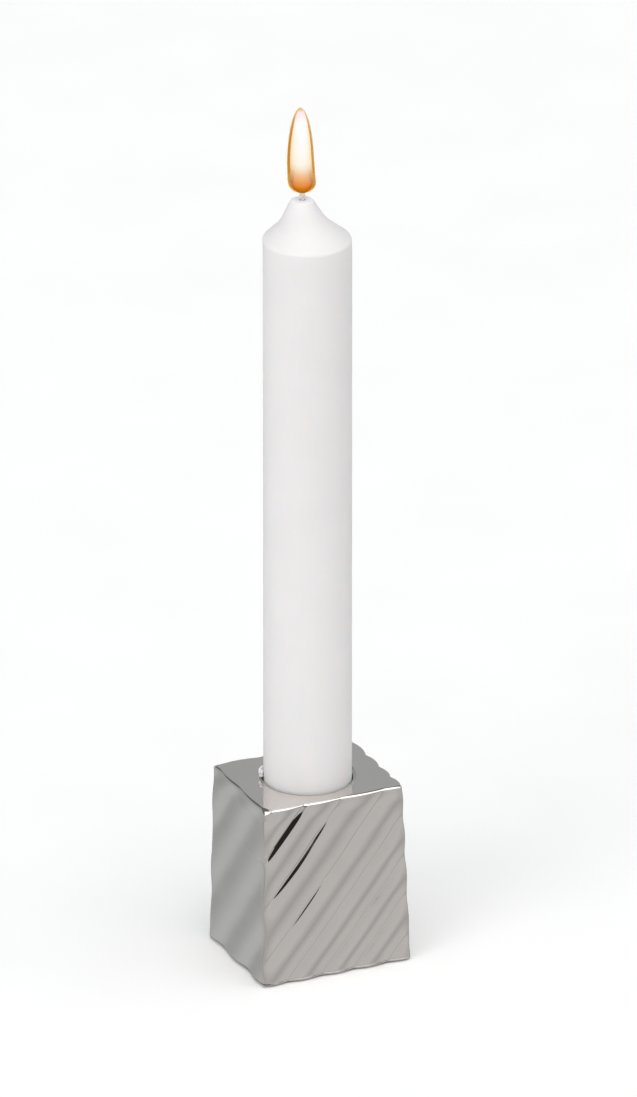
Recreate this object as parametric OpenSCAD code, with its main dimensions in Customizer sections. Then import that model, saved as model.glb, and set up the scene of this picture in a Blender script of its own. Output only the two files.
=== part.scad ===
// Rippled metal block candlestick with its dinner candle.
// Origin at the centre of the underside, +Z up, long side of the block along X.

/* [Block] */
// Height of the block from the table to its flat top
block_h = 47.6; // [42:0.2:60]
// Width of the top along X, across the ripple crests
top_w = 38.4; // [36:0.1:44]
// Depth of the top along Y, across the ripple crests
top_d = 31.7; // [31:0.1:40]
// How far each side leans out between the top and the base (front, right, back, left)
side_flare = [1.1, 1.9, 0.8, 0.7];
// Radius of the upright corners
corner_r = 1; // [0.6:0.1:1.4]
// Size of the small bevel along the top and bottom edges
edge_bevel = 0.4; // [0.2:0.1:0.6]
// Thickness of the shell's flat top
top_wall = 1.2; // [1:0.1:2]
// Thickness of the shell's sides in the valleys
side_wall = 0.6; // [0.5:0.1:1]

/* [Ripples] */
// Depth of the valleys below the crests
ripple_depth = 0.7; // [0.3:0.1:0.9]
// Share of the ripples that is left along the upright corners
corner_ripple = 0.4; // [0:0.1:1]
// Distance from a corner at which the ripples reach their full depth
corner_calm = 3; // [1:0.5:6]
// Phase at the left end of each side's top edge, in ripples (front, right, back, left)
side_phase = [0.7, 0, 0.4, 0.7];
// Ripples along the top edge of each side (front, right, back, left)
side_along = [3.9, 4.3, 3.7, 2.4];
// Ripples down the height of each side (front, right, back, left)
side_down = [3.9, 4.35, 4, 2.9];
// How far the ripples wander from even spacing, in ripples
wander = 0.17; // [0:0.01:0.2]
// The wander repeats after this many ripples
wander_every = 6; // [4:1:8]

/* [Socket] */
// Depth of the socket that the candle stands in
socket_depth = 24; // [18:0.5:26]
// Gap between the candle and the socket liner, all round
candle_gap = 0.3; // [0.2:0.1:0.6]
// Thickness of the socket liner
liner_wall = 0.4; // [0.3:0.1:0.6]
// How far the rim of the liner flares out, to sit in the countersunk hole
rim_flare = 0.35; // [0.2:0.05:0.6]

/* [Base] */
// How far the felt stands out below the metal
felt_proud = 0.4; // [0.2:0.1:0.8]
// Thickness of the felt pad
felt_t = 1; // [0.9:0.1:1.5]
// Thickness of the base plate
plate_t = 1.6; // [1:0.2:2]
// Diameter of the clamp screw
screw_d = 4; // [3:0.5:4]
// Length of the clamp screw under its head
screw_len = 16; // [15:0.5:17]

/* [Candle] */
// Diameter of the candle
candle_d = 22; // [20:0.5:22]
// Length of the wax from its foot to its tip
candle_len = 180; // [100:5:240]
// Length of the wick above the wax
wick_out = 11; // [4:1:14]
// Diameter of the wick
wick_d = 1.6; // [1.2:0.1:2.4]

/* [Hidden] */
$fn = 96;
joint_gap = 0.05;

// The block
shell_bottom = felt_proud;
shell_h = block_h - shell_bottom;
side_points = 22;
corner_points = 2;
level_count = 16;
mean_ripple = 0.45;
skin_t = ripple_depth + side_wall;

// The socket
liner_bore_r = candle_d / 2 + candle_gap;
liner_r = liner_bore_r + liner_wall;
liner_floor = 1.2;
hole_r = liner_r + joint_gap;
socket_z = block_h - socket_depth;
liner_z = socket_z - liner_floor;
rim_z = block_h - rim_flare;
boss_r = 4;
boss_len = 9;
thread_len = 7.6;

// The base
felt_top = felt_t;
plate_top = felt_top + plate_t;
plate_corner_r = 0.8;
felt_inset = 0.4;
head_r = 3.8;
head_h = 2.4;
head_dome = 0.6;
washer_t = 0.9;
washer_r = 3.7;
washer_split = 0.7;
pocket_r = 5.2;
pocket_top = felt_top + head_h + washer_t + 0.3;
slot_w = 1;
slot_depth = 1.2;

// The candle: a round shoulder, a straight slope, a hollow neck and a round tip
shoulder_r = 1.2;
slope_angle = 48;
slope_len = 4;
neck_r = 11;
tip_angle = 29;
tip_r = 3.4;
tip_round = 1.2;
candle_tip_z = socket_z + candle_len;
wick_z = socket_z + 3;

// Points on an arc, from one angle to another
function arc(centre, r, from, to, steps = 8) =
    [for (i = [0 : steps]) let (a = from + (to - from) * i / steps)
        centre + r * [cos(a), sin(a)]];

function mix(a, b, t) = a + (b - a) * t;

// Ripple phase on a side, from its left end (t = 0) to its right end (t = 1)
function phase(side, t, depth) =
    let (p = side_phase[side] + side_along[side] * t + side_down[side] * depth / block_h)
    p + wander * cos(360 * (p - 2) / wander_every);

// 0 at a corner of a side, rising smoothly to 1 where the ripples have their full depth
function side_len(side) = side % 2 == 0 ? top_w : top_d;
function off_corner(side, t) =
    let (x = min(1, max(0, min(t, 1 - t) * side_len(side) / corner_calm))) x * x * (3 - 2 * x);

// Depth of the surface below the crests: round ridges between narrow valleys
function ripple(side, t, depth) =
    let (valley = 1 - abs(sin(180 * phase(side, t, depth))),
         share = mix(corner_ripple, 1, off_corner(side, t)))
    ripple_depth * mix(mean_ripple, valley, share);

// Distance of a side's crests from the candle's axis at a depth below the top
function reach(side, depth) =
    (side % 2 == 0 ? top_d : top_w) / 2 + side_flare[side] * depth / block_h;
function bevel_inset(depth) =
    max(0, edge_bevel - depth, edge_bevel - (shell_h - depth));
function skin(side, t, depth) = reach(side, depth) - bevel_inset(depth) - ripple(side, t, depth);

// Corners in order: front left, front right, back right, back left. Side k runs from corner k
corner_sign = [[-1, -1], [1, -1], [1, 1], [-1, 1]];
function across(side, along, out) =
    let (s = corner_sign[side]) side % 2 == 0 ? [along, s[1] * out] : [s[0] * out, along];
function corner(k, depth) =
    let (a = k % 4, b = (k + 3) % 4, s = corner_sign[a], from_b = skin(b, 1, depth))
    across(a, s[a % 2] * from_b, skin(a, 0, depth));

// A point on a side, pressed in along the side's own normal by the ripple
function side_point(k, t, depth) =
    let (p = mix(corner(k, depth), corner(k + 1, depth), t))
    across(k, p[k % 2], skin(k, t, depth));

// One closed outline: each side, then a curve round the corner that follows it
function round_corner(k, depth) =
    let (r_before = corner_share(k), r_after = corner_share(k + 1),
         a = side_point(k, 1 - r_before, depth), c = corner(k + 1, depth),
         b = side_point((k + 1) % 4, r_after, depth))
    [for (i = [1 : corner_points]) let (t = i / (corner_points + 1))
        mix(mix(a, c, t), mix(c, b, t), t)];
function corner_share(k) = corner_r / side_len(k);
function outline(depth) =
    [for (k = [0 : 3]) let (share = corner_share(k))
        each concat([for (i = [0 : side_points])
                        side_point(k, mix(share, 1 - share, i / side_points), depth)],
                    round_corner(k, depth))];

// Depths of the outlines from the bottom up, with one at each edge of the bevels
level_depths = concat([shell_h],
                      [for (j = [0 : level_count])
                          mix(shell_h - edge_bevel, edge_bevel, j / level_count)],
                      [0]);

// The solid block with its rippled skin
module rippled_block() {
    rings = [for (d = level_depths) [for (p = outline(d)) [p[0], p[1], block_h - d]]];
    middles = [for (d = [shell_h, 0]) [0, 0, block_h - d]];
    n = len(rings[0]);
    top_ring = len(rings) - 1;
    walls = [for (j = [0 : top_ring - 1], i = [0 : n - 1]) let (next = (i + 1) % n)
                each [[j * n + i, (j + 1) * n + i, (j + 1) * n + next],
                      [j * n + i, (j + 1) * n + next, j * n + next]]];
    // The underside and the top are fans of triangles round a point on the candle's axis
    under_middle = (top_ring + 1) * n;
    top_start = top_ring * n;
    underside = [for (i = [0 : n - 1]) [under_middle, i, (i + 1) % n]];
    roof = [for (i = [0 : n - 1]) [under_middle + 1, top_start + (i + 1) % n, top_start + i]];
    polyhedron(points = concat([for (ring = rings) each ring], middles),
               faces = concat(underside, walls, roof));
}

// Inside of the shell at a depth, as low and high corners, with a gap all round
function inside(depth, gap) =
    let (r = [for (side = [0 : 3]) reach(side, depth) - skin_t - gap]) [[-r[3], -r[0]], [r[1], r[2]]];

// Plain block with the sides' lean, from one height to another
module leaning_block(z0, z1, gap) {
    points = [for (z = [z0, z1]) let (box = inside(block_h - z, gap), a = box[0], b = box[1])
                 each [[a[0], a[1], z], [b[0], a[1], z], [b[0], b[1], z], [a[0], b[1], z]]];
    polyhedron(points = points,
               faces = [[0, 1, 2, 3], [7, 6, 5, 4], [4, 5, 1, 0], [5, 6, 2, 1], [6, 7, 3, 2], [7, 4, 0, 3]]);
}

// A flat plate with round corners that fits inside the shell
module rounded_plate(gap, r, h) {
    box = inside(block_h - plate_top, gap);
    size = box[1] - box[0];
    translate((box[0] + box[1]) / 2) linear_extrude(h) {
        square([size[0] - 2 * r, size[1]], center = true);
        square([size[0], size[1] - 2 * r], center = true);
        for (x = [-1, 1], y = [-1, 1])
            translate([x * (size[0] / 2 - r), y * (size[1] / 2 - r)]) circle(r);
    }
}

module at(z) {
    translate([0, 0, z]) children();
}

// Thin shell: rippled sides and a flat top with a countersunk hole, open below
module rippled_shell() {
    color("silver") difference() {
        rippled_block();
        leaning_block(0, block_h - top_wall, 0);
        at(block_h - top_wall) cylinder(h = top_wall, r = hole_r);
        at(rim_z) cylinder(h = rim_flare, r1 = hole_r, r2 = hole_r + rim_flare);
    }
}

// Heavy filling that backs the shell all over, with a stepped bore for the liner and the screw
module weight_core() {
    color("tan") difference() {
        leaning_block(plate_top, block_h - top_wall - joint_gap, joint_gap);
        at(liner_z) cylinder(h = block_h, r = hole_r);
        at(plate_top) cylinder(h = block_h, r = boss_r + joint_gap);
        at(plate_top) cylinder(h = pocket_top + plate_t - plate_top, r = pocket_r + plate_t + joint_gap);
    }
}

// Drawn liner hung by its flared rim, with a boss under its floor for the clamp screw
module socket_liner() {
    color("gainsboro") difference() {
        union() {
            at(liner_z) cylinder(h = block_h - liner_z, r = liner_r);
            at(rim_z) cylinder(h = rim_flare, r1 = liner_r, r2 = liner_r + rim_flare);
            at(liner_z - boss_len) cylinder(h = boss_len, r = boss_r);
        }
        at(socket_z) cylinder(h = socket_depth, r = liner_bore_r);
        at(rim_z) cylinder(h = rim_flare, r1 = liner_bore_r, r2 = liner_bore_r + rim_flare);
        at(liner_z - boss_len) cylinder(h = thread_len, d = screw_d);
    }
}

// Pressed plate that closes the block, with a pocket for the screw head
module base_plate() {
    color("darkgray") difference() {
        union() {
            at(felt_top) rounded_plate(2 * joint_gap, plate_corner_r, plate_t);
            at(felt_top) cylinder(h = pocket_top + plate_t - felt_top, r = pocket_r + plate_t);
        }
        at(felt_top) cylinder(h = pocket_top - felt_top, r = pocket_r);
        at(pocket_top) cylinder(h = plate_t, d = screw_d + 4 * joint_gap);
    }
}

// Pan-head screw that pulls the base plate and the liner together
module clamp_screw() {
    head_z = pocket_top - washer_t - head_h;
    color("dimgray") difference() {
        union() {
            at(head_z + head_dome) cylinder(h = head_h - head_dome, r = head_r);
            at(head_z) cylinder(h = head_dome, r1 = head_r - head_dome, r2 = head_r);
            at(head_z + head_h) cylinder(h = screw_len, d = screw_d);
        }
        for (turn = [0, 90]) rotate(turn)
            at(head_z) translate([-head_r / 2, -slot_w / 2, 0]) cube([head_r, slot_w, slot_depth]);
    }
}

// Split ring under the screw head
module lock_washer() {
    color("gray") at(pocket_top - washer_t) difference() {
        cylinder(h = washer_t, r = washer_r);
        cylinder(h = washer_t, d = screw_d + 4 * joint_gap);
        translate([0, -washer_split / 2, 0]) cube([washer_r, washer_split, washer_t]);
    }
}

// Felt under the base plate, the face that the candlestick rests on
module felt_pad() {
    color("darkslategray") rounded_plate(felt_inset, plate_corner_r, felt_t);
}

// Outline of half the candle's head, from the shoulder to the round tip
function candle_head(r) =
    let (slope = [-sin(slope_angle), cos(slope_angle)],
         shoulder = arc([r - shoulder_r, 0], shoulder_r, 0, slope_angle),
         neck_start = shoulder[len(shoulder) - 1] + slope_len * slope,
         neck_centre = neck_start + neck_r * [cos(slope_angle), sin(slope_angle)],
         neck = arc(neck_centre, neck_r, 180 + slope_angle, 180 + tip_angle),
         neck_end = neck[len(neck) - 1],
         tip_h = (neck_end[0] - tip_r) / tan(tip_angle),
         tip_centre = [tip_r, neck_end[1] + tip_h]
                      - tip_round * [cos(tip_angle), sin(tip_angle)],
         tip = arc(tip_centre, tip_round, tip_angle, 90))
    concat(shoulder, neck, tip);

// Wax body with the wick's channel up its axis
module candle() {
    head = candle_head(candle_d / 2);
    head_h = head[len(head) - 1][1];
    shoulder_z = candle_tip_z - head_h;
    outline = concat([[0, socket_z], [candle_d / 2, socket_z]],
                     [for (p = head) [p[0], p[1] + shoulder_z]],
                     [[0, candle_tip_z]]);
    color("white") difference() {
        rotate_extrude() polygon(outline);
        at(wick_z) cylinder(h = candle_len, d = wick_d);
    }
}

// Cotton wick from near the candle's foot to above its tip
module wick() {
    color("wheat") at(wick_z) cylinder(h = candle_tip_z + wick_out - wick_z, d = wick_d);
}

rippled_shell();
weight_core();
socket_liner();
base_plate();
clamp_screw();
lock_washer();
felt_pad();
candle();
wick();
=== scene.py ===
import math
import random

import bmesh
import bpy
from mathutils import Matrix, Vector, noise


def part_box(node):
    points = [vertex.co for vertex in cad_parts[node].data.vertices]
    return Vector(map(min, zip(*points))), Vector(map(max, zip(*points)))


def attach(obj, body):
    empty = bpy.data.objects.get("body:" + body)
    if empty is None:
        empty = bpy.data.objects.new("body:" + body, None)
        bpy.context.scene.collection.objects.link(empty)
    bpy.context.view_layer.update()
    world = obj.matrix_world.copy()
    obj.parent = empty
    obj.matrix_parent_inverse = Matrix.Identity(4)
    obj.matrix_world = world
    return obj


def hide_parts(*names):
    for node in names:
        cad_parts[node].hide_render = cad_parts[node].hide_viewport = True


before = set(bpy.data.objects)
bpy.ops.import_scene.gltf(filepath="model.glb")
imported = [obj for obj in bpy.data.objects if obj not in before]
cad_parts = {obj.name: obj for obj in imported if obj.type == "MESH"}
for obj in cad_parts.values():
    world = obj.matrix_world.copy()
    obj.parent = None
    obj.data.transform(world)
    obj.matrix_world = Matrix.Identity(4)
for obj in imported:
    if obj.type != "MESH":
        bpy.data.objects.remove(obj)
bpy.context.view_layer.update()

MM = 0.001
MERGE_DISTANCE = 1e-7
NEARLY_ZERO = 1e-9

# ---- Sizes taken from the frame ----
shell_low, shell_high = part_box("rippled_shell")
liner_low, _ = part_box("socket_liner")
felt_low, felt_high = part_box("felt_pad")
candle_low, candle_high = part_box("candle")
wick_low, wick_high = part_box("wick")

BLOCK_H = shell_high.z
SHELL_H = shell_high.z - shell_low.z
CANDLE_R = candle_high.x
WICK_R = wick_high.x
TIP_Z = candle_high.z
SOCKET_Z = candle_low.z
WICK_Z = wick_low.z

# ---- The block, with the same driving dimensions as the CAD ----
# Sides are in the order front, right, back, left
SIDE_FLARE = tuple(d * MM for d in (1.1, 1.9, 0.8, 0.7))
TOP_HALF_W = 19.2 * MM
TOP_HALF_D = 15.85 * MM
CORNER_R = 1.0 * MM
BOTTOM_EDGE_R = 0.4 * MM
TOP_WALL = 1.2 * MM
SIDE_WALL = 0.6 * MM
JOINT_GAP = 0.05 * MM
LINER_BORE_R = CANDLE_R + 0.3 * MM
LINER_R = LINER_BORE_R + 0.4 * MM
RIM_FLARE = 0.35 * MM
LINER_FLOOR = 1.2 * MM
BOSS_R = 4 * MM
THREAD_LEN = 7.6 * MM
SCREW_R = 2 * MM

# The ripples flatten out to a mean depth near the upright corners
RIPPLE_DEPTH = 0.7 * MM
CORNER_RIPPLE = 0.4
CORNER_CALM = 3 * MM
MEAN_RIPPLE = 0.45
# Where each side starts in the pattern, and how many ripples run along it and down it
SIDE_PHASE = (0.7, 0.0, 0.4, 0.7)
SIDE_ALONG = (3.9, 4.3, 3.7, 2.4)
SIDE_DOWN = (3.9, 4.35, 4.0, 2.9)
# The spacing wanders by this share of a ripple, once in so many ripples
WANDER = 0.17
WANDER_EVERY = 6
# Roundness of the valleys: 0 is a sharp crease, 1 is nearly a sine wave
VALLEY_SOFTNESS = (0.08, 0.15, 0.15, 0.7)
# The ripples are rubbed down to this share along each side's top edge, over this height
RUBBED_SHARE = (0.5, 1.0, 1.0, 0.45)
RUBBED_HEIGHT = 4 * MM
# Creases beside some valleys of the front: ripple number, where the crease starts and ends
# along the side, its width in ripples and its depth. The lip is the narrow flank above the valley,
# in ripples; the point is how sharply a crease closes at its ends.
CREASE_LIP = 0.05
CREASE_POINT = 0.6
CREASES = (
    (1, -0.06, 0.07, 0.105, 0.15 * MM),
    (2, -0.05, 0.42, 0.15, 0.27 * MM),
    (3, 0.05, 0.475, 0.115, 0.2 * MM),
    (4, 0.16, 0.44, 0.07, 0.12 * MM),
)
# The top edge from the side up: angle of the surface in degrees and length of each step in mm
TOP_EDGE = (
    (10, 0.02), (24, 0.03), (36, 0.11), (44, 0.13), (52, 0.11),
    (62, 0.03), (69, 0.14), (75, 0.16), (82, 0.08), (88, 0.03),
)

# The top edge is worn wider at the front left corner: how many times wider, and over what distance
WORN_SCALE = 2.6
WORN_REACH = 1.1 * MM
WORN_FADE = 2 * MM

# Fineness of the block's mesh
LEVELS = 190
BOTTOM_STEPS = 6
CORNER_POINTS = 7
TOP_RINGS = (0.03, 0.3, 0.7, 0.97)


# ---- Small helpers ----
def mix(a, b, t):
    """From a at t = 0 to b at t = 1."""
    return a + (b - a) * t


def smooth(low, high, x):
    """0 below low, 1 above high, and a smooth step between them."""
    t = min(1.0, max(0.0, (x - low) / (high - low)))
    return t * t * (3 - 2 * t)


def bell(x):
    """1 at x = 0, and nearly 0 beyond 2."""
    return math.exp(-x * x)


def new_mesh(name, points, faces, material, sharp_angle=None):
    mesh = bpy.data.meshes.new(name)
    mesh.from_pydata(points, [], faces)
    mesh.validate()
    tool = bmesh.new()
    tool.from_mesh(mesh)
    bmesh.ops.remove_doubles(tool, verts=tool.verts, dist=MERGE_DISTANCE)
    bmesh.ops.recalc_face_normals(tool, faces=tool.faces)
    tool.to_mesh(mesh)
    tool.free()
    mesh.polygons.foreach_set("use_smooth", [True] * len(mesh.polygons))
    if sharp_angle is not None:
        mesh.set_sharp_from_angle(angle=math.radians(sharp_angle))
    mesh.materials.append(material)
    obj = bpy.data.objects.new(name, mesh)
    bpy.context.scene.collection.objects.link(obj)
    return obj


def loft(rings, closed=True):
    """Points and faces of a tube through rings of equal length; closed joins its last ring to its first."""
    n = len(rings[0])
    points = [p for ring in rings for p in ring]
    faces = []
    last = len(rings) if closed else len(rings) - 1
    for j in range(last):
        low, high = j * n, (j + 1) % len(rings) * n
        for i in range(n):
            k = (i + 1) % n
            faces.append((low + i, low + k, high + k, high + i))
    return points, faces


def lathe(name, profile, material, segments=96, shift=None, sharp_angle=40):
    """Turned piece: profile is (radius, height) from one pole or rim to the other, and back."""
    rings = []
    for r, z in profile:
        off = shift(z) if shift else Vector((0, 0, 0))
        ring = []
        for i in range(segments):
            a = 2 * math.pi * i / segments
            ring.append(Vector((r * math.cos(a), r * math.sin(a), z)) + off)
        rings.append(ring)
    points, faces = loft(rings)
    return new_mesh(name, points, faces, material, sharp_angle)


def arc(cx, cz, r, start, end, steps=10):
    """Points on an arc from one angle to another, in degrees."""
    found = []
    for i in range(steps + 1):
        a = math.radians(mix(start, end, i / steps))
        found.append((cx + r * math.cos(a), cz + r * math.sin(a)))
    return found


# ---- Node materials ----
class Material:
    """A procedural material in object coordinates."""

    def __init__(self, name, **inputs):
        self.material = bpy.data.materials.new(name)
        self.material.use_nodes = True
        self.tree = self.material.node_tree
        self.shader = self.tree.nodes["Principled BSDF"]
        for key, value in inputs.items():
            self.shader.inputs[key.replace("_", " ")].default_value = value
        self.coords = self.node("ShaderNodeTexCoord").outputs["Object"]

    def node(self, kind, **settings):
        made = self.tree.nodes.new(kind)
        for key, value in settings.items():
            setattr(made, key, value)
        return made

    def link(self, a, b):
        self.tree.links.new(a, b)

    def stretched(self, scale):
        """Object coordinates multiplied by a scale along each axis."""
        mapping = self.node("ShaderNodeMapping")
        mapping.inputs["Scale"].default_value = scale
        self.link(self.coords, mapping.inputs["Vector"])
        return mapping.outputs["Vector"]

    def noise(self, scale, detail=3.0, roughness=0.5, vector=None):
        made = self.node("ShaderNodeTexNoise")
        made.inputs["Scale"].default_value = scale
        made.inputs["Detail"].default_value = detail
        made.inputs["Roughness"].default_value = roughness
        self.link(vector or self.coords, made.inputs["Vector"])
        return made.outputs["Fac"]

    def ramp(self, factor, *stops):
        made = self.node("ShaderNodeValToRGB")
        elements = made.color_ramp.elements
        while len(elements) < len(stops):
            elements.new(0.5)
        for element, (place, colour) in zip(elements, stops):
            element.position = place
            element.color = (*colour, 1)
        self.link(factor, made.inputs["Fac"])
        return made.outputs["Color"]

    def spread(self, factor, low, high):
        """Maps the middle of a noise onto low to high."""
        made = self.node("ShaderNodeMapRange")
        made.inputs["From Min"].default_value = 0.3
        made.inputs["From Max"].default_value = 0.7
        made.inputs["To Min"].default_value = low
        made.inputs["To Max"].default_value = high
        self.link(factor, made.inputs["Value"])
        return made.outputs["Result"]

    def bump(self, height, distance, strength=1.0, after=None):
        made = self.node("ShaderNodeBump")
        made.inputs["Distance"].default_value = distance
        made.inputs["Strength"].default_value = strength
        self.link(height, made.inputs["Height"])
        if after:
            self.link(after, made.inputs["Normal"])
        return made.outputs["Normal"]

    def set(self, name, output):
        self.link(output, self.shader.inputs[name])


def polished_nickel():
    """Nickel plate over a cast skin: near-mirror, with a soft unevenness and fine polishing grain."""
    m = Material("polished_nickel", Metallic=1.0)
    tone = m.noise(90, 3)
    m.set("Base Color", m.ramp(tone, (0.3, (0.785, 0.752, 0.722)), (0.7, (0.815, 0.779, 0.748))))
    m.set("Roughness", m.spread(m.noise(260, 4), 0.06, 0.11))
    cast = m.bump(m.noise(420, 2), 0.006 * MM)
    grain = m.bump(m.noise(5200, 2, vector=m.stretched((1, 1, 0.25))), 0.0006 * MM, after=cast)
    m.set("Normal", grain)
    return m.material


def turned_nickel():
    """The liner's drawn and turned nickel, with faint rings round the axis."""
    m = Material("turned_nickel", Metallic=1.0)
    m.set("Base Color", m.ramp(m.noise(150, 3), (0.3, (0.66, 0.65, 0.62)), (0.7, (0.73, 0.72, 0.69))))
    m.set("Roughness", m.spread(m.noise(700, 3), 0.16, 0.26))
    rings = m.noise(2600, 2, vector=m.stretched((0.02, 0.02, 1)))
    m.set("Normal", m.bump(rings, 0.003 * MM))
    return m.material


def zinc_steel(name, base, rough):
    """Zinc plated sheet and hardware: mottled, with a fine pressed grain."""
    m = Material(name, Metallic=1.0)
    dark = tuple(0.82 * c for c in base)
    m.set("Base Color", m.ramp(m.noise(500, 4), (0.35, dark), (0.65, base)))
    m.set("Roughness", m.spread(m.noise(1100, 4), rough - 0.07, rough + 0.1))
    m.set("Normal", m.bump(m.noise(3000, 3), 0.006 * MM))
    return m.material


def cast_mineral():
    """The cast filling: pale grey-brown, grainy, with small air holes."""
    m = Material("cast_mineral", Metallic=0.0, Roughness=0.9, Specular_IOR_Level=0.25)
    grain = m.noise(900, 6, 0.65)
    m.set("Base Color", m.ramp(grain, (0.3, (0.36, 0.34, 0.31)), (0.7, (0.6, 0.58, 0.54))))
    m.set("Normal", m.bump(grain, 0.05 * MM))
    return m.material


def wool_felt():
    """Pressed wool: short tangled fibres over soft clumps."""
    m = Material("wool_felt", Metallic=0.0, Roughness=0.95, Specular_IOR_Level=0.15)
    fibres = m.noise(4200, 6, 0.7, vector=m.stretched((1, 1, 2.5)))
    m.set("Base Color", m.ramp(fibres, (0.3, (0.03, 0.033, 0.037)), (0.75, (0.15, 0.155, 0.165))))
    clumps = m.bump(m.noise(700, 3), 0.12 * MM)
    m.set("Normal", m.bump(fibres, 0.08 * MM, after=clumps))
    m.shader.inputs["Sheen Weight"].default_value = 0.4
    m.shader.inputs["Sheen Roughness"].default_value = 0.6
    return m.material


def candle_wax():
    """White wax: light passes a little way in; the skin has slow waves and fine pores."""
    m = Material("candle_wax", Metallic=0.0, Specular_IOR_Level=0.4)
    m.shader.inputs["IOR"].default_value = 1.44
    m.shader.inputs["Subsurface Weight"].default_value = 0.55
    m.shader.inputs["Subsurface Radius"].default_value = (1.0, 0.8, 0.65)
    m.shader.inputs["Subsurface Scale"].default_value = 3.0 * MM
    m.set("Base Color", m.ramp(m.noise(60, 3), (0.3, (0.8, 0.787, 0.79)), (0.7, (0.825, 0.812, 0.814))))
    m.set("Roughness", m.spread(m.noise(300, 4), 0.42, 0.55))
    waves = m.bump(m.noise(110, 2, vector=m.stretched((1, 1, 0.35))), 0.05 * MM)
    m.set("Normal", m.bump(m.noise(1700, 3), 0.004 * MM, after=waves))
    return m.material


def plaited_cotton():
    """Cotton wick, pale where waxed and charred above."""
    m = Material("plaited_cotton", Metallic=0.0, Roughness=0.85, Specular_IOR_Level=0.2)
    height = m.node("ShaderNodeSeparateXYZ")
    m.link(m.coords, height.inputs["Vector"])
    char = m.node("ShaderNodeMapRange")
    char.interpolation_type = "SMOOTHSTEP"
    char.inputs["From Min"].default_value = TIP_Z + 1.5 * MM
    char.inputs["From Max"].default_value = TIP_Z + 5 * MM
    m.link(height.outputs["Z"], char.inputs["Value"])
    fibres = m.noise(6500, 4, 0.6, vector=m.stretched((1, 1, 0.35)))
    pale = m.ramp(fibres, (0.3, (0.55, 0.52, 0.48)), (0.7, (0.86, 0.84, 0.8)))
    burnt = m.ramp(fibres, (0.3, (0.015, 0.012, 0.01)), (0.7, (0.09, 0.06, 0.045)))
    blend = m.node("ShaderNodeMix", data_type="RGBA")
    m.link(char.outputs["Result"], blend.inputs["Factor"])
    m.link(pale, blend.inputs[6])
    m.link(burnt, blend.inputs[7])
    m.set("Base Color", blend.outputs[2])
    m.set("Normal", m.bump(fibres, 0.04 * MM))
    return m.material


# ---- The rippled block ----
def side_len(side):
    """Length of a side's top edge between the sharp corners."""
    return 2 * (TOP_HALF_D if side % 2 else TOP_HALF_W)


def phase(side, t, depth):
    """Number of ripples from the start of the pattern to a point, t of the way along a side."""
    p = SIDE_PHASE[side] + SIDE_ALONG[side] * t + SIDE_DOWN[side] * depth / BLOCK_H
    return p + WANDER * math.cos(2 * math.pi * (p - 2) / WANDER_EVERY)


def crease(side, t, p):
    """Depth of the creases in the front: a steep, even flank below the valley line, pointed at its ends."""
    if side != 0:
        return 0.0
    deepest = 0.0
    for number, start, end, width, depth in CREASES:
        q = p - number
        if not start < t < end or not -CREASE_LIP < q < width:
            continue
        lens = (1 - (2 * (t - start) / (end - start) - 1) ** 2) ** CREASE_POINT
        flank = 1 - q / (width * lens) if q > 0 else 1 + q / CREASE_LIP
        deepest = max(deepest, depth * lens * max(0.0, flank))
    return deepest


def ripple(side, t, depth):
    """Depth of the surface below the crests: pillowed ridges between narrow valleys."""
    p = phase(side, t, depth)
    soft = VALLEY_SOFTNESS[side]
    rise = (math.sqrt(math.sin(math.pi * p) ** 2 + soft * soft) - soft) / (math.sqrt(1 + soft * soft) - soft)
    share = mix(CORNER_RIPPLE, 1, smooth(0, CORNER_CALM, min(t, 1 - t) * side_len(side)))
    share *= mix(RUBBED_SHARE[side], 1, smooth(0, RUBBED_HEIGHT, depth))
    return RIPPLE_DEPTH * mix(MEAN_RIPPLE, 1 - rise, share) + crease(side, t, p)


def reach(side, depth):
    """Distance of a side's crests from the candle's axis."""
    return (TOP_HALF_W if side % 2 else TOP_HALF_D) + SIDE_FLARE[side] * depth / BLOCK_H


# Corner k is where side k starts
CORNER_SIGN = ((-1, -1), (1, -1), (1, 1), (-1, 1))


def across(side, along, out):
    """The point of a side at a place along it, that far out from the axis."""
    sign = CORNER_SIGN[side]
    if side % 2:
        return Vector((sign[0] * out, along))
    return Vector((along, sign[1] * out))


# How far each step of the top edge goes up and in
EDGE_STEPS = [(math.cos(math.radians(a)) * n * MM, math.sin(math.radians(a)) * n * MM) for a, n in TOP_EDGE]
EDGE_HEIGHT = sum(up for up, _ in EDGE_STEPS)


def worn(side, t):
    """How many times wider the top edge is here: more than 1 only where the left and front sides meet."""
    away = {0: t, 3: 1 - t}.get(side)
    if away is None:
        return 1.0
    return 1 + (WORN_SCALE - 1) * bell(away * side_len(side) / WORN_REACH)


def lowered(depth, scale):
    """Depth of a level where the top edge is scaled, easing back to the level's own depth below it."""
    if depth <= EDGE_HEIGHT:
        return depth * scale
    return depth + (scale - 1) * EDGE_HEIGHT * math.exp(-(depth - EDGE_HEIGHT) / WORN_FADE)


def skin(side, t, depth, inset):
    """Distance of the surface from the axis, t of the way along a side."""
    scale = worn(side, t)
    depth = lowered(depth, scale)
    return reach(side, depth) - inset * scale - ripple(side, t, depth)


def corner(k, depth, inset):
    """The sharp corner that the rounded one is drawn inside."""
    before = (k + 3) % 4
    along = CORNER_SIGN[k][k % 2] * skin(before, 1, depth, inset)
    place = across(k, along, skin(k, 0, depth, inset))
    return place.to_3d() + Vector((0, 0, BLOCK_H - lowered(depth, worn(k, 0))))


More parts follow.
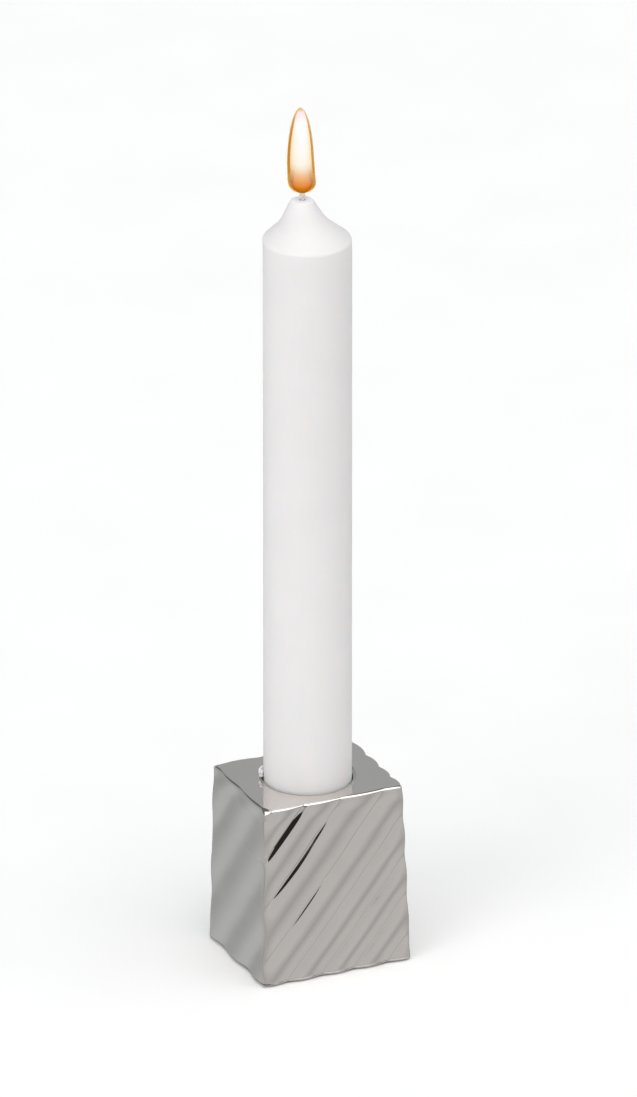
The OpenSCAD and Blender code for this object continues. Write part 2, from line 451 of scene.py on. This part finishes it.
def side_point(k, t, depth, inset, ends):
    """A point on side k, pressed in along the side's own normal by its ripple."""
    along = ends[k].lerp(ends[(k + 1) % 4], t)[k % 2]
    place = across(k, along, skin(k, t, depth, inset))
    return place.to_3d() + Vector((0, 0, BLOCK_H - lowered(depth, worn(k, t))))


def columns(side):
    """Columns across a side, so that a step of one column and one level keeps to a line of the ripples."""
    per_level = SIDE_DOWN[side] * (SHELL_H - BOTTOM_EDGE_R - EDGE_HEIGHT) / BLOCK_H / LEVELS
    return round(SIDE_ALONG[side] * (1 - 2 * CORNER_R / side_len(side)) / per_level)


def outline(depth, inset):
    """One closed outline of the skin at a depth below the top."""
    ends = [corner(k, depth, inset) for k in range(4)]
    found = []
    for k in range(4):
        after = (k + 1) % 4
        share = CORNER_R / side_len(k)
        count = columns(k)
        for i in range(count + 1):
            found.append(side_point(k, mix(share, 1 - share, i / count), depth, inset, ends))
        a = found[-1]
        b = side_point(after, CORNER_R / side_len(after), depth, inset, ends)
        for i in range(1, CORNER_POINTS + 1):
            t = i / (CORNER_POINTS + 1)
            found.append(a.lerp(ends[after], t).lerp(ends[after].lerp(b, t), t))
    return found


def skin_levels():
    """Depth and inset of each outline, from the bottom edge up to the top one."""
    levels = []
    for i in range(BOTTOM_STEPS + 1):
        a = math.pi / 2 * i / BOTTOM_STEPS
        levels.append((SHELL_H - BOTTOM_EDGE_R * (1 - math.sin(a)), BOTTOM_EDGE_R * (1 - math.cos(a))))
    depth, inset = EDGE_HEIGHT, 0.0
    for i in range(1, LEVELS + 1):
        levels.append((mix(SHELL_H - BOTTOM_EDGE_R, depth, i / LEVELS), inset))
    for up, inward in EDGE_STEPS:
        depth, inset = depth - up, inset + inward
        levels.append((max(0.0, depth), inset))
    return levels


def ray_to_box(way, low, high):
    """Where a ray from the axis meets a rectangle."""
    x = (high[0] if way.x > 0 else low[0]) / (way.x or NEARLY_ZERO)
    y = (high[1] if way.y > 0 else low[1]) / (way.y or NEARLY_ZERO)
    return way * min(x, y)


def rippled_block(material):
    """The shell: up its rippled sides, in over the top to the hole, and down again inside."""
    rings = [outline(depth, inset) for depth, inset in skin_levels()]
    rim = [Vector((p.x, p.y)) for p in rings[-1]]
    ways = [p.normalized() for p in rim]
    hole_r = LINER_R + JOINT_GAP
    lip_r = hole_r + RIM_FLARE

    def circle(r, z):
        return [Vector((*(w * r), z)) for w in ways]

    def inside(z):
        walls = [reach(side, BLOCK_H - z) - RIPPLE_DEPTH - SIDE_WALL for side in range(4)]
        low, high = (-walls[3], -walls[0]), (walls[1], walls[2])
        return [Vector((*ray_to_box(w, low, high), z)) for w in ways]

    # The flat top, from its edge in to the countersunk hole
    for share in TOP_RINGS:
        rings.append([Vector((*p.lerp(w * lip_r, share), BLOCK_H)) for p, w in zip(rim, ways)])
    rings.append(circle(lip_r, BLOCK_H))
    rings.append(circle(hole_r, BLOCK_H - RIM_FLARE))
    rings.append(circle(hole_r, BLOCK_H - TOP_WALL))

    # The inside of the shell, down to its open bottom
    rings.append(inside(BLOCK_H - TOP_WALL))
    rings.append(inside(shell_low.z))
    points, faces = loft(rings)
    # Each quad is split along the ripples, so that their shading stays smooth
    faces = [part for a, b, c, d in faces for part in ((a, b, c), (a, c, d))]
    return new_mesh("block", points, faces, material, sharp_angle=50)


# ---- The turned pieces ----
IMAGE_RIGHT = Vector((0.908, -0.419, 0))
TIP_LEAN = 1.3 * MM
LEAN_START = TIP_Z - 13 * MM
LEAN_END = TIP_Z - 1 * MM
FOOT_BEVEL = 0.4 * MM


def candle_lean(z):
    """The drawn-up tip leans a little to the left of the front view."""
    return IMAGE_RIGHT * -(TIP_LEAN * smooth(LEAN_START, LEAN_END, z))


def candle_head():
    """Half outline of the candle's head: round shoulder, straight slope, hollow neck and round tip."""
    shoulder_r, slope_len, neck_r = 1.2 * MM, 4.1 * MM, 11 * MM
    tip_r, tip_round = 3.1 * MM, 1.3 * MM
    slope_deg, tip_deg = 49, 28
    slope, tip = math.radians(slope_deg), math.radians(tip_deg)
    steps = 8
    shoulder = arc(CANDLE_R - shoulder_r, 0, shoulder_r, 0, slope_deg, steps)
    start = (shoulder[-1][0] - slope_len * math.sin(slope), shoulder[-1][1] + slope_len * math.cos(slope))
    centre = (start[0] + neck_r * math.cos(slope), start[1] + neck_r * math.sin(slope))
    neck = arc(*centre, neck_r, 180 + slope_deg, 180 + tip_deg, steps)
    tip_h = (neck[-1][0] - tip_r) / math.tan(tip)
    round_centre = (tip_r - tip_round * math.cos(tip), neck[-1][1] + tip_h - tip_round * math.sin(tip))
    end = arc(*round_centre, tip_round, tip_deg, 90, steps)
    head = shoulder + neck + end
    top = head[-1][1]
    return [(r, TIP_Z - top + z) for r, z in head]


def candle(material):
    """The candle, up its outside and down the narrow channel of the wick."""
    rings = 60
    lip, lip_rise = 0.35 * MM, 0.02 * MM
    below_head = TIP_Z - 12 * MM
    foot = [(WICK_R, SOCKET_Z), (CANDLE_R - FOOT_BEVEL, SOCKET_Z), (CANDLE_R, SOCKET_Z + FOOT_BEVEL)]
    head = candle_head()
    straight = [(CANDLE_R, mix(foot[-1][1], head[0][1], i / rings)) for i in range(1, rings)]
    dome = [(WICK_R + lip, TIP_Z + lip_rise), (WICK_R, TIP_Z)]
    channel = [(WICK_R, below_head), (WICK_R, WICK_Z)]
    profile = foot + straight + head + dome + channel
    return lathe("candle_wax", profile, material, segments=160, shift=candle_lean, sharp_angle=50)


def wax_crumbs(material):
    """Small drips of wax that cling to the candle where it comes out of the block, at its left."""
    count = 20
    sunk_in, sunk_down = 0.15, 0.7
    dent_width, dent_depth = 0.6, 0.25
    random.seed(4)
    tool = bmesh.new()
    for _ in range(count):
        size = random.uniform(0.34, 0.52) * MM
        way = math.radians(random.uniform(146, 166))
        out = CANDLE_R + sunk_in * size + random.uniform(0, 0.75) * MM
        height = BLOCK_H + sunk_down * size + random.uniform(0, 1.5) * MM
        centre = Vector((out * math.cos(way), out * math.sin(way), height))
        made = bmesh.ops.create_icosphere(tool, subdivisions=3, radius=size)
        for vert in made["verts"]:
            dent = dent_depth * noise.noise(vert.co / (dent_width * size) + centre / MM)
            vert.co = centre + vert.co * (1 + dent)
    mesh = bpy.data.meshes.new("wax_crumbs")
    tool.to_mesh(mesh)
    tool.free()
    mesh.polygons.foreach_set("use_smooth", [True] * len(mesh.polygons))
    mesh.materials.append(material)
    obj = bpy.data.objects.new("wax_crumbs", mesh)
    bpy.context.scene.collection.objects.link(obj)
    return obj


def liner(material):
    """The socket: its floor, bore and two-step flared mouth, then down outside to the threaded boss."""
    top = BLOCK_H
    boss_low = liner_low.z
    floor_low = SOCKET_Z - LINER_FLOOR
    floor_round = 0.6 * MM
    round_middle = LINER_BORE_R - floor_round
    profile = [(0, SOCKET_Z), (round_middle, SOCKET_Z)]
    profile += arc(round_middle, SOCKET_Z + floor_round, floor_round, -90, 0, 6)
    profile += [(LINER_BORE_R, mix(SOCKET_Z, top, 0.5)), (LINER_BORE_R, top - RIM_FLARE)]
    profile += [(LINER_BORE_R + RIM_FLARE * 0.6, top - RIM_FLARE * 0.3)]
    profile += [(LINER_BORE_R + RIM_FLARE, top), (LINER_R + RIM_FLARE, top)]
    profile += [(LINER_R, top - RIM_FLARE), (LINER_R, floor_low)]
    profile += [(BOSS_R, floor_low), (BOSS_R, boss_low), (SCREW_R, boss_low)]
    profile += [(SCREW_R, boss_low + THREAD_LEN), (0, boss_low + THREAD_LEN)]
    return lathe("liner", profile, material, segments=144)


def wick(material):
    """Three strands plaited round each other, all the way down the candle."""
    strand_r = WICK_R * 0.52
    swing = WICK_R * 0.46
    turn_len = 3.4 * MM
    steps_per_turn = 20
    length = wick_high.z - wick_low.z
    steps = int(length / turn_len * steps_per_turn)
    sides = 10
    points, faces = [], []
    for strand in range(3):
        start = len(points)
        for j in range(steps + 1):
            z = wick_low.z + length * j / steps
            a = 2 * math.pi * ((z - wick_low.z) / turn_len + strand / 3)
            centre = Vector((swing * math.cos(a), 0.8 * swing * math.sin(a), z)) + candle_lean(z)
            narrow = mix(1, 0.55, smooth(wick_high.z - 2.5 * MM, wick_high.z, z))
            for i in range(sides):
                b = 2 * math.pi * i / sides
                points.append(centre + strand_r * narrow * Vector((math.cos(b), math.sin(b), 0)))
        for j in range(steps):
            for i in range(sides):
                k = (i + 1) % sides
                low, high = start + j * sides, start + (j + 1) * sides
                faces.append((low + i, low + k, high + k, high + i))
        faces.append([start + i for i in reversed(range(sides))])
        faces.append([start + steps * sides + i for i in range(sides)])
    return new_mesh("wick_plait", points, faces, material)


# ---- Felt ----
def felt(material):
    """A thin pad of felt with soft edges, cut to the plate above it."""
    edge = 0.25 * MM
    corner_r = 0.8 * MM
    per_corner = 12
    middle = (felt_low + felt_high) / 2
    half = (felt_high - felt_low) / 2

    def ring(inset, z):
        found = []
        r = max(0.1 * MM, corner_r - inset)
        for quarter, (sx, sy) in enumerate(((1, 1), (-1, 1), (-1, -1), (1, -1))):
            for i in range(per_corner + 1):
                a = math.pi / 2 * (quarter + i / per_corner)
                x = middle.x + sx * (half.x - inset - r) + r * math.cos(a)
                y = middle.y + sy * (half.y - inset - r) + r * math.sin(a)
                found.append(Vector((x, y, z)))
        return found

    middle_inset = 0.35 * half.y
    levels = [(middle_inset, felt_low.z), (edge, felt_low.z), (0.3 * edge, felt_low.z + 0.3 * edge)]
    levels += [(0, felt_low.z + edge), (0, felt_high.z - edge)]
    levels += [(edge, felt_high.z), (middle_inset, felt_high.z)]
    rings = [ring(inset, z) for inset, z in levels]
    points, faces = loft(rings, closed=False)
    n = len(rings[0])
    faces.append(list(reversed(range(n))))
    faces.append([(len(rings) - 1) * n + i for i in range(n)])
    return new_mesh("felt_sheet", points, faces, material)


# ---- The flame ----
# Places along the flame are shares of its height, from 0 at its foot to 1 at its tip
FLAME_LOW = TIP_Z + 2 * MM
FLAME_H = 22.6 * MM
FLAME_R = 3.47 * MM
THINNEST_WALL = 0.02 * MM
MANTLE_WALL = 0.45 * MM
MANTLE_INSIDE = (0.004, 0.975)
MANTLE_SHIFT = 0.12 * MM
GLOW_ENDS = (0.09, 0.96)
GLOW_FILL = 0.93
GLOW_SHIFT = 0.06 * MM
BULB_R = 2.3 * MM
BULB_TOP = 0.42
LEFT_AT_FOOT, LEFT_ABOVE = 1.35 * MM, 1.72 * MM


def round_foot(share, height):
    """A round lower end: 0 at the bottom, 1 from this share of the height."""
    return math.sqrt(1 - (1 - min(1, share / height)) ** 2)


def flame_radius(share):
    """Half width of the flame at a share of its height: straight sides, drawn in to a blunt point."""
    return FLAME_R * round_foot(share, 0.12) * (1 - share ** 3) ** 0.57


def mantle_wall(share):
    """The coloured gas is next to nothing round the foot, and thins out again towards the tip."""
    return THINNEST_WALL + MANTLE_WALL * smooth(0.13, 0.27, share) * mix(1, 0.55, smooth(0.75, 1, share))


def inner_radius(share):
    """Half width of the hollow in the coloured gas."""
    return flame_radius(share) - mantle_wall(share)


def glow_radius(share):
    """The white glow fills the coloured gas."""
    return GLOW_FILL * inner_radius(share)


def bulb_radius(share):
    """The orange bulb round the wick: round below, drawn up to a point inside the white glow."""
    return BULB_R * round_foot(share, 0.08) * (1 - (share / BULB_TOP) ** 2) ** 0.8


def flame_axis(share):
    """The flame stands over the leaning wick and bends a little to the left."""
    return IMAGE_RIGHT * -mix(LEFT_AT_FOOT, LEFT_ABOVE, smooth(0, 0.45, share))


def flame_piece(name, material, *walls):
    """A closed piece of the flame, with one wall or an outer and an inner one.

    A wall is a function for its radius, its lowest and highest share, and its shift to the right.
    """
    steps, segments = 48, 64
    turns = [2 * math.pi * j / segments for j in range(segments)]
    circle = [Vector((math.cos(a), math.sin(a), 0)) for a in turns]
    points, faces = [], []
    for radius_at, low, high, aside in walls:
        rings = []
        for i in range(steps + 1):
            share = mix(low, high, (1 - math.cos(math.pi * i / steps)) / 2)
            radius = 0.0 if i in (0, steps) else max(0.0, radius_at(share))
            centre = flame_axis(share) + IMAGE_RIGHT * aside
            centre.z = FLAME_LOW + FLAME_H * share
            rings.append([centre + radius * way for way in circle])
        made_points, made_faces = loft(rings, closed=False)
        start = len(points)
        points += made_points
        faces += [[start + i for i in face] for face in made_faces]
    piece = new_mesh(name, points, faces, material)
    piece.visible_shadow = False
    piece.visible_diffuse = False
    return piece


def flame_glow_material(name, colours, alphas):
    """Glowing gas. Its colour, and its alpha if there are alphas, go by the share of the flame's height."""
    m = Material(name, Roughness=1.0, Specular_IOR_Level=0.0)
    m.shader.inputs["Base Color"].default_value = (0, 0, 0, 1)
    height = m.node("ShaderNodeSeparateXYZ")
    m.link(m.coords, height.inputs["Vector"])
    share = m.node("ShaderNodeMapRange")
    share.inputs["From Min"].default_value = FLAME_LOW
    share.inputs["From Max"].default_value = FLAME_LOW + FLAME_H
    m.link(height.outputs["Z"], share.inputs["Value"])
    m.set("Emission Color", m.ramp(share.outputs["Result"], *colours))
    m.shader.inputs["Emission Strength"].default_value = 2.0
    if alphas:
        m.set("Alpha", m.ramp(share.outputs["Result"], *[(at, (a, a, a)) for at, a in alphas]))
    return m.material


def flame_mantle_material():
    """Clear gas that takes out blue and green, so that the flame's outline is orange brown."""
    m = Material("flame_mantle", Roughness=0.0, Specular_IOR_Level=0.0)
    m.shader.inputs["Base Color"].default_value = (1, 1, 1, 1)
    m.shader.inputs["Transmission Weight"].default_value = 1.0
    m.shader.inputs["IOR"].default_value = 1.0
    gas_colour, gas_density = (0.858, 0.603, 0.026, 1), 1100
    absorb = m.node("ShaderNodeVolumeAbsorption")
    absorb.inputs["Color"].default_value = gas_colour
    absorb.inputs["Density"].default_value = gas_density
    output = m.tree.nodes["Material Output"]
    m.link(absorb.outputs["Volume"], output.inputs["Volume"])
    return m.material


# ---- Building the object ----
wax = candle_wax()

block = rippled_block(polished_nickel())
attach(block, "holder")
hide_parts("rippled_shell")

liner_piece = liner(turned_nickel())
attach(liner_piece, "holder")
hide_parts("socket_liner")

candle_piece = candle(wax)
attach(candle_piece, "candle_body")
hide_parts("candle")

# The crumbs run into each other, so their wax lets no light in
drip_wax = wax.copy()
drip_wax.name = "wax_drips"
drip_wax.node_tree.nodes["Principled BSDF"].inputs["Subsurface Weight"].default_value = 0
crumbs = wax_crumbs(drip_wax)
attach(crumbs, "candle_body")

wick_piece = wick(plaited_cotton())
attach(wick_piece, "candle_body")
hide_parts("wick")

felt_piece = felt(wool_felt())
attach(felt_piece, "holder")
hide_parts("felt_pad")

plate_steel = zinc_steel("plate_steel", (0.5, 0.5, 0.49), 0.36)
screw_steel = zinc_steel("screw_steel", (0.44, 0.44, 0.45), 0.3)
for node, material, slot in (
    ("weight_core", cast_mineral(), "mineral_core"),
    ("base_plate", plate_steel, "plate_steel"),
    ("clamp_screw", screw_steel, "screw_steel"),
    ("lock_washer", screw_steel, "screw_steel"),
):
    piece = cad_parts[node]
    piece.data.materials.clear()
    piece.data.materials.append(material)

bulb_colours = (
    (0.0, (0.2, 0.08, 0.012)),
    (0.05, (0.32, 0.125, 0.008)),
    (0.1, (0.47, 0.2, 0.014)),
    (0.2, (0.53, 0.225, 0.025)),
    (0.4, (0.55, 0.42, 0.2)),
)
glow_colours = (
    (0.0, (0.57, 0.54, 0.38)),
    (0.2, (0.57, 0.56, 0.5)),
    (0.34, (0.56, 0.63, 0.86)),
    (0.5, (0.57, 0.66, 0.98)),
    (0.82, (0.57, 0.66, 0.98)),
    (1.0, (0.5, 0.4, 0.42)),
)
glow_alphas = ((0.1, 0), (0.17, 0.18), (0.24, 0.5), (0.31, 0.84), (0.38, 1))
bulb_glow = flame_glow_material("flame_bulb", bulb_colours, ())
white_glow = flame_glow_material("flame_glow", glow_colours, glow_alphas)
mantle_outside = (flame_radius, 0, 1, 0)
mantle_inside = (inner_radius, *MANTLE_INSIDE, MANTLE_SHIFT)
for flame_part in (
    flame_piece("flame_bulb_glow", bulb_glow, (bulb_radius, 0, BULB_TOP, 0)),
    flame_piece("flame_white_glow", white_glow, (glow_radius, *GLOW_ENDS, GLOW_SHIFT)),
    flame_piece("flame_outer", flame_mantle_material(), mantle_outside, mantle_inside),
):
    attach(flame_part, "candle_body")


# ---- Studio ----
def disc(name, radius, height, colour_low, colour_high):
    """A round sheet of matt paper that belongs to the studio."""
    middle = (0, 0, height)
    bpy.ops.mesh.primitive_circle_add(vertices=128, radius=radius, fill_type="NGON", location=middle)
    obj = bpy.context.object
    obj.name = name
    m = Material(name + "_paper", Roughness=0.9, Specular_IOR_Level=0.0)
    m.set("Base Color", m.ramp(m.noise(30, 2), (0.3, colour_low), (0.7, colour_high)))
    obj.data.materials.append(m.material)
    return obj


floor = disc("floor", 20, -0.05 * MM, (0.94, 0.94, 0.94), (0.96, 0.96, 0.96))
floor.visible_glossy = False


def world_light():
    """Soft studio surround.

    Metal reflects its lower half too: a grey table that ends at a dark room in front.
    """
    world = bpy.data.worlds.new("studio")
    bpy.context.scene.world = world
    world.use_nodes = True
    tree = world.node_tree
    background = tree.nodes["Background"]
    coords = tree.nodes.new("ShaderNodeTexCoord")
    split = tree.nodes.new("ShaderNodeSeparateXYZ")
    tree.links.new(coords.outputs["Generated"], split.inputs["Vector"])
    place = tree.nodes.new("ShaderNodeMapRange")
    place.inputs["From Min"].default_value = -1
    place.inputs["From Max"].default_value = 1
    tree.links.new(split.outputs["Z"], place.inputs["Value"])
    # Ramp colours are divided by this, and the background's strength multiplies them back
    full = 2.0

    def ramp(*stops):
        """Brightness by elevation in degrees."""
        made = tree.nodes.new("ShaderNodeValToRGB")
        elements = made.color_ramp.elements
        while len(elements) < len(stops):
            elements.new(0.5)
        for element, (degrees, colour) in zip(elements, stops):
            element.position = (math.sin(math.radians(degrees)) + 1) / 2
            element.color = (*[c / full for c in colour], 1)
        tree.links.new(place.outputs["Result"], made.inputs["Fac"])
        return made.outputs["Color"]

    def warm(level):
        return level * 1.01, level, level * 0.995

    def cool(level):
        return level * 0.965, level, level * 1.01

    front = ramp(
        (-60, warm(0.5)), (-36, warm(0.56)), (-25, warm(0.415)), (-13, warm(0.57)), (0, warm(0.55)),
        (3, warm(0.02)), (19, warm(0.02)), (26, warm(0.9)), (36, warm(1.5)), (60, warm(1.5)),
        (90, warm(2.6)),
    )
    back = ramp(
        (-60, cool(0.52)), (-31, cool(0.52)), (-25, cool(0.45)), (-19, cool(0.37)), (0, cool(0.42)),
        (22, cool(0.415)), (29, cool(0.415)), (33, cool(0.14)), (58, cool(0.16)),
        (66, cool(1.5)), (90, cool(2.6)),
    )
    side = tree.nodes.new("ShaderNodeMapRange")
    side.interpolation_type = "SMOOTHSTEP"
    side.inputs["From Min"].default_value = -0.25
    side.inputs["From Max"].default_value = 0.25
    tree.links.new(split.outputs["Y"], side.inputs["Value"])
    blend = tree.nodes.new("ShaderNodeMix")
    blend.data_type = "RGBA"
    tree.links.new(side.outputs["Result"], blend.inputs["Factor"])
    tree.links.new(front, blend.inputs[6])
    tree.links.new(back, blend.inputs[7])
    tree.links.new(blend.outputs[2], background.inputs["Color"])
    background.inputs["Strength"].default_value = full


def soft_light(name, place, size, power, aim):
    """A rectangular light of so many watts, which the camera doesn't see."""
    data = bpy.data.lights.new(name, "AREA")
    data.shape = "RECTANGLE"
    data.size, data.size_y = size
    data.energy = power
    obj = bpy.data.objects.new(name, data)
    bpy.context.scene.collection.objects.link(obj)
    obj.location = place
    obj.rotation_euler = (Vector(aim) - Vector(place)).to_track_quat("-Z", "Y").to_euler()
    obj.visible_camera = False
    return obj


world_light()
soft_light("left_softbox", place=(-2.2, -1.1, 1.0), size=(1.4, 1.4), power=15, aim=(0, 0, 0.1))

# ---- Camera: a long lens, 24.8 degrees round to the left and 24.5 degrees up ----
CAMERA_AZIMUTH, CAMERA_ELEVATION = math.radians(-24.8), math.radians(24.5)
CAMERA_DISTANCE = 6.0
PICTURE_PIXELS_HIGH = 1097
PIXELS_PER_METRE = 4030
AIM_RIGHT, AIM_UP = 2.7 * MM, 56.25 * MM
back_way = Vector((
    math.sin(CAMERA_AZIMUTH) * math.cos(CAMERA_ELEVATION),
    -math.cos(CAMERA_AZIMUTH) * math.cos(CAMERA_ELEVATION),
    math.sin(CAMERA_ELEVATION),
))
right_way = Vector((math.cos(CAMERA_AZIMUTH), math.sin(CAMERA_AZIMUTH), 0))
up_way = back_way.cross(right_way)
block_top = Vector((0, 0, BLOCK_H))
camera_aim = block_top + right_way * AIM_RIGHT + up_way * AIM_UP
camera_data = bpy.data.cameras.new("camera")
camera_data.sensor_width = 36
camera_data.lens = 36 * CAMERA_DISTANCE * PIXELS_PER_METRE / PICTURE_PIXELS_HIGH
camera_data.clip_start, camera_data.clip_end = 0.1, 100
camera = bpy.data.objects.new("camera", camera_data)
bpy.context.scene.collection.objects.link(camera)
camera.location = camera_aim + back_way * CAMERA_DISTANCE
camera.rotation_mode = "QUATERNION"
camera.rotation_quaternion = Matrix((right_way, up_way, back_way)).transposed().to_quaternion()
bpy.context.scene.camera = camera

bpy.context.scene.view_settings.view_transform = "Standard"
